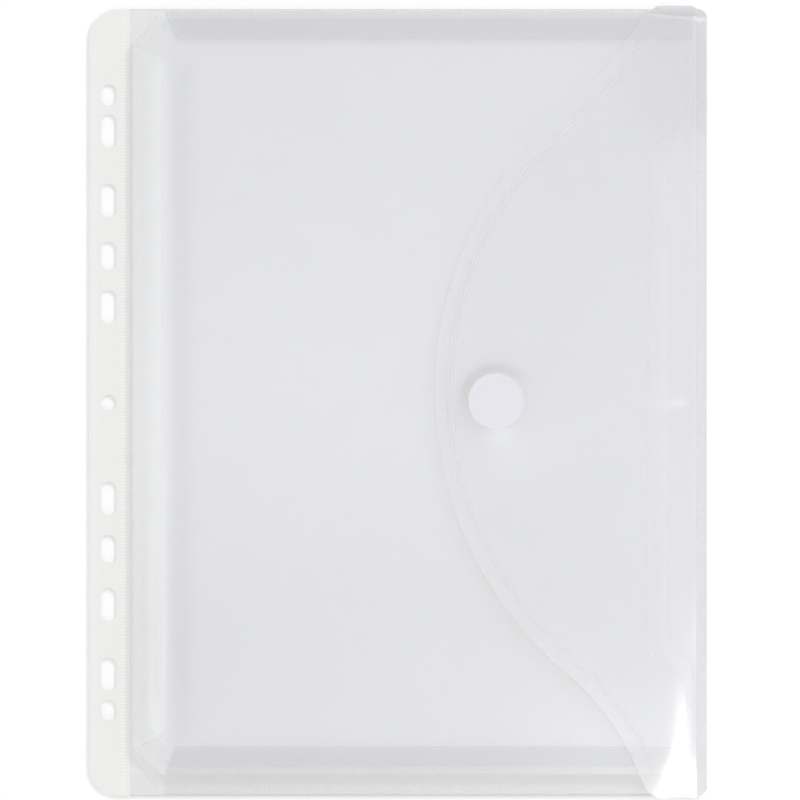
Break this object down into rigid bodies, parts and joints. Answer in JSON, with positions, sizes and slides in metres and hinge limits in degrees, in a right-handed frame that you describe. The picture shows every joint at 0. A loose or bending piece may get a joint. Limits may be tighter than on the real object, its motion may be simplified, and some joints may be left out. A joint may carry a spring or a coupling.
{
  "type": "document wallet",
  "caption": "Punched clear film wallet for loose sheets, with a V-folded gusset, a curved flap and a hook-and-loop dot.",
  "frame": {"origin": "middle of the footprint, on the table that the back panel lies on", "axes": "+X from the punched strip to the flap fold, +Y up the sheet, +Z out of the front panel"},
  "size_m": [0.241, 0.31, 0.0086],
  "materials": {
    "film": "clear polypropylene film with a fine frosted grain",
    "white_film": "opaque white polypropylene film",
    "loop_tape": "white knitted loop tape",
    "hook_tape": "white woven tape with fine hooks",
    "adhesive": "thin pale adhesive"
  },
  "bodies": {
    "back": {"back_panel": "film", "binding_strip": "white_film", "gusset_rear_flange": "film", "flap_fold": "film"},
    "flap": {"flap_panel": "film", "hook_dot": "hook_tape", "hook_dot_adhesive": "adhesive"},
    "front": {"front_panel": "film", "gusset_front_flange": "film", "loop_dot": "loop_tape", "loop_dot_adhesive": "adhesive"},
    "top_rear_leaf": {"top_rear_leaf": "film"},
    "top_front_leaf": {"top_front_leaf": "film"},
    "top_corner_rear_leaf": {"top_corner_rear_leaf": "film"},
    "top_corner_front_leaf": {"top_corner_front_leaf": "film"},
    "left_rear_leaf": {"left_rear_leaf": "film"},
    "left_front_leaf": {"left_front_leaf": "film"},
    "bottom_corner_rear_leaf": {"bottom_corner_rear_leaf": "film"},
    "bottom_corner_front_leaf": {"bottom_corner_front_leaf": "film"},
    "bottom_rear_leaf": {"bottom_rear_leaf": "film"},
    "bottom_front_leaf": {"bottom_front_leaf": "film"}
  },
  "joints": [
    {"name": "flap_open", "type": "hinge", "parent": "back", "child": "flap", "pos_m": [0.11625, 0, 0.00425], "axis": [0, 1, 0], "range_deg": [0, 180], "deforming": ["flap_fold"]},
    {"name": "pocket_lift", "type": "slide", "parent": "back", "child": "front", "axis": [0, 0, 1], "range_m": [0, 0.01]},
    {"name": "top_rear_fold", "type": "hinge", "parent": "back", "child": "top_rear_leaf", "pos_m": [0.11505, 0.1524, 0.00065], "axis": [-1, 0, 0], "range_deg": [0, 29.34]},
    {"name": "top_crease", "type": "hinge", "parent": "top_rear_leaf", "child": "top_front_leaf", "pos_m": [0.11505, 0.14162, 0.00285], "axis": [-1, 0, 0], "range_deg": [-58.67, 0]},
    {"name": "top_corner_rear_fold", "type": "hinge", "parent": "back", "child": "top_corner_rear_leaf", "pos_m": [-0.0913, 0.1524, 0.00065], "axis": [-0.6783, -0.7348, 0], "range_deg": [0, 29.34]},
    {"name": "top_corner_crease", "type": "hinge", "parent": "top_corner_rear_leaf", "child": "top_corner_front_leaf", "pos_m": [-0.08338, 0.14509, 0.00285], "axis": [-0.6783, -0.7348, 0], "range_deg": [-58.67, 0]},
    {"name": "left_rear_fold", "type": "hinge", "parent": "back", "child": "left_rear_leaf", "pos_m": [-0.1033, 0.1394, 0.00065], "axis": [0, -1, 0], "range_deg": [0, 29.34]},
    {"name": "left_crease", "type": "hinge", "parent": "left_rear_leaf", "child": "left_front_leaf", "pos_m": [-0.09252, 0.1394, 0.00285], "axis": [0, -1, 0], "range_deg": [-58.67, 0]},
    {"name": "bottom_corner_rear_fold", "type": "hinge", "parent": "back", "child": "bottom_corner_rear_leaf", "pos_m": [-0.1033, -0.135, 0.00065], "axis": [0.7682, -0.6402, 0], "range_deg": [0, 29.34]},
    {"name": "bottom_corner_crease", "type": "hinge", "parent": "bottom_corner_rear_leaf", "child": "bottom_corner_front_leaf", "pos_m": [-0.0964, -0.12672, 0.00285], "axis": [0.7682, -0.6402, 0], "range_deg": [-58.67, 0]},
    {"name": "bottom_rear_fold", "type": "hinge", "parent": "back", "child": "bottom_rear_leaf", "pos_m": [-0.0913, -0.145, 0.00065], "axis": [1, 0, 0], "range_deg": [0, 29.34]},
    {"name": "bottom_crease", "type": "hinge", "parent": "bottom_rear_leaf", "child": "bottom_front_leaf", "pos_m": [-0.0913, -0.13422, 0.00285], "axis": [1, 0, 0], "range_deg": [-58.67, 0]}
  ],
  "couplings": [
    {"joint": "pocket_lift", "follows": "flap_open", "m_per_rad": 0.0031831},
    {"joint": "top_rear_fold", "follows": "flap_open", "ratio": 0.16297},
    {"joint": "top_crease", "follows": "flap_open", "ratio": -0.32593},
    {"joint": "top_corner_rear_fold", "follows": "flap_open", "ratio": 0.16297},
    {"joint": "top_corner_crease", "follows": "flap_open", "ratio": -0.32593},
    {"joint": "left_rear_fold", "follows": "flap_open", "ratio": 0.16297},
    {"joint": "left_crease", "follows": "flap_open", "ratio": -0.32593},
    {"joint": "bottom_corner_rear_fold", "follows": "flap_open", "ratio": 0.16297},
    {"joint": "bottom_corner_crease", "follows": "flap_open", "ratio": -0.32593},
    {"joint": "bottom_rear_fold", "follows": "flap_open", "ratio": 0.16297},
    {"joint": "bottom_crease", "follows": "flap_open", "ratio": -0.32593}
  ]
}
